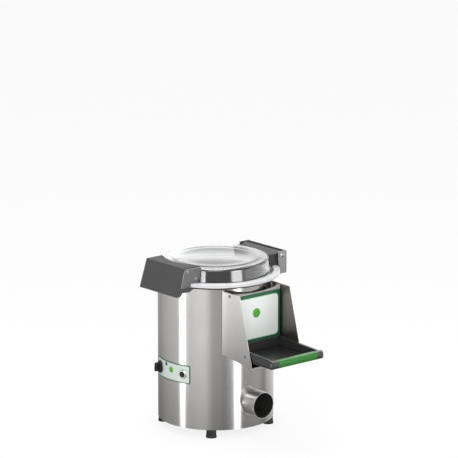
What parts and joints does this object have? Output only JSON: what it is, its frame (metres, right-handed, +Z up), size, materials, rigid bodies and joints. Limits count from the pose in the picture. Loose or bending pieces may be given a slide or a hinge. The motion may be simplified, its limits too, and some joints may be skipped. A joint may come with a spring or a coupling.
{
  "type": "electric potato peeler",
  "caption": "Bench-top potato peeler: steel drum, abrasive disc, hinged clear lid, discharge door with bar handle, drain tube, timer panel.",
  "frame": {"origin": "centre of the base plate's underside, on the drum's axis, 24 mm above the feet's soles", "axes": "+Z up along the drum's axis, -Y towards the discharge door and drain tube, +X towards the lid hinge, -X towards the lid handle and timer panel"},
  "size_m": [0.4055, 0.5494, 0.4975],
  "materials": {
    "brushed_steel": "brushed",
    "zinc_steel": "dull zinc",
    "black_rubber": "matt",
    "grey_plastic": "fine satin",
    "grey_paint": "satin",
    "black_plastic": "satin",
    "green_plastic": "satin",
    "white_plastic": "satin, slightly translucent",
    "clear_plastic": "clear polycarbonate",
    "label_film": "satin printed film",
    "abrasive_grit": "coarse grit",
    "cast_aluminium": "as cast",
    "chrome": "polished",
    "motor_paint": "semi-gloss"
  },
  "bodies": {
    "housing": {"base_plate": "zinc_steel", "foot_front_left": "black_rubber", "foot_front_right": "black_rubber", "foot_rear_left": "black_rubber", "foot_rear_right": "black_rubber", "drum_shell": "brushed_steel", "chamber_floor": "brushed_steel", "abrasive_liner": "abrasive_grit", "drain_pipe": "brushed_steel", "bearing_housing": "cast_aluminium", "lower_bearing": "chrome", "upper_bearing": "chrome", "shaft_seal": "black_rubber", "motor_body": "motor_paint", "motor_bracket": "zinc_steel", "drive_belt": "black_rubber", "motor_capacitor": "cast_aluminium", "control_box": "grey_plastic", "cable_gland": "black_plastic", "water_inlet": "chrome", "control_panel": "label_film", "timer_body": "black_plastic", "button_bezel": "chrome", "switch_body": "black_plastic", "outlet_frame": "brushed_steel", "door_seal": "black_rubber", "hood_plate_left": "brushed_steel", "hood_plate_right": "brushed_steel", "chute": "brushed_steel", "door_pivot_left": "chrome", "door_pivot_right": "chrome", "door_catch_left": "chrome", "door_catch_right": "chrome", "rim_seal": "black_rubber", "hinge_bracket": "grey_paint", "hinge_pin": "chrome", "lid_sensor": "black_plastic"},
    "lid": {"lid_ring": "white_plastic", "lid_dome": "clear_plastic", "lid_hinge_arm": "grey_paint", "handle_cover": "grey_plastic", "handle_cheek_front": "grey_paint", "handle_cheek_back": "grey_paint", "safety_magnet": "black_plastic"},
    "door": {"door_panel": "grey_plastic", "door_label": "label_film", "door_handle": "grey_plastic", "handle_grip": "green_plastic", "handle_screw_left": "chrome", "handle_screw_right": "chrome"},
    "spindle": {"spindle_shaft": "chrome", "peeling_disc": "cast_aluminium", "disc_abrasive": "abrasive_grit", "disc_nut": "chrome", "spindle_pulley": "cast_aluminium"},
    "motor_rotor": {"motor_shaft": "chrome", "motor_pulley": "cast_aluminium"},
    "knob": {"timer_knob": "black_plastic"},
    "button": {"start_button": "black_plastic"}
  },
  "joints": [
    {"name": "lid_hinge", "type": "hinge", "parent": "housing", "child": "lid", "pos_m": [0.177, 0, 0.4555], "axis": [0, 1, 0], "range_deg": [0, 100]},
    {"name": "door_hinge", "type": "hinge", "parent": "housing", "child": "door", "pos_m": [0, -0.17, 0.396], "axis": [-1, 0, 0], "range_deg": [0, 70]},
    {"name": "spindle_spin", "type": "hinge", "parent": "housing", "child": "spindle", "pos_m": [0, 0, 0.212], "axis": [0, 0, 1], "continuous": true},
    {"name": "motor_spin", "type": "hinge", "parent": "housing", "child": "motor_rotor", "pos_m": [0, 0.097, 0.042], "axis": [0, 0, 1], "continuous": true},
    {"name": "knob_turn", "type": "hinge", "parent": "housing", "child": "knob", "pos_m": [-0.15608, 0.05681, 0.157], "axis": [0.9397, -0.342, 0], "range_deg": [0, 300]},
    {"name": "button_press", "type": "slide", "parent": "housing", "child": "button", "axis": [0.9613, 0.2756, 0], "range_m": [0, 0.003], "stiffness_N_per_m": 300}
  ],
  "couplings": [
    {"joint": "motor_spin", "follows": "spindle_spin", "ratio": 3.6667}
  ]
}
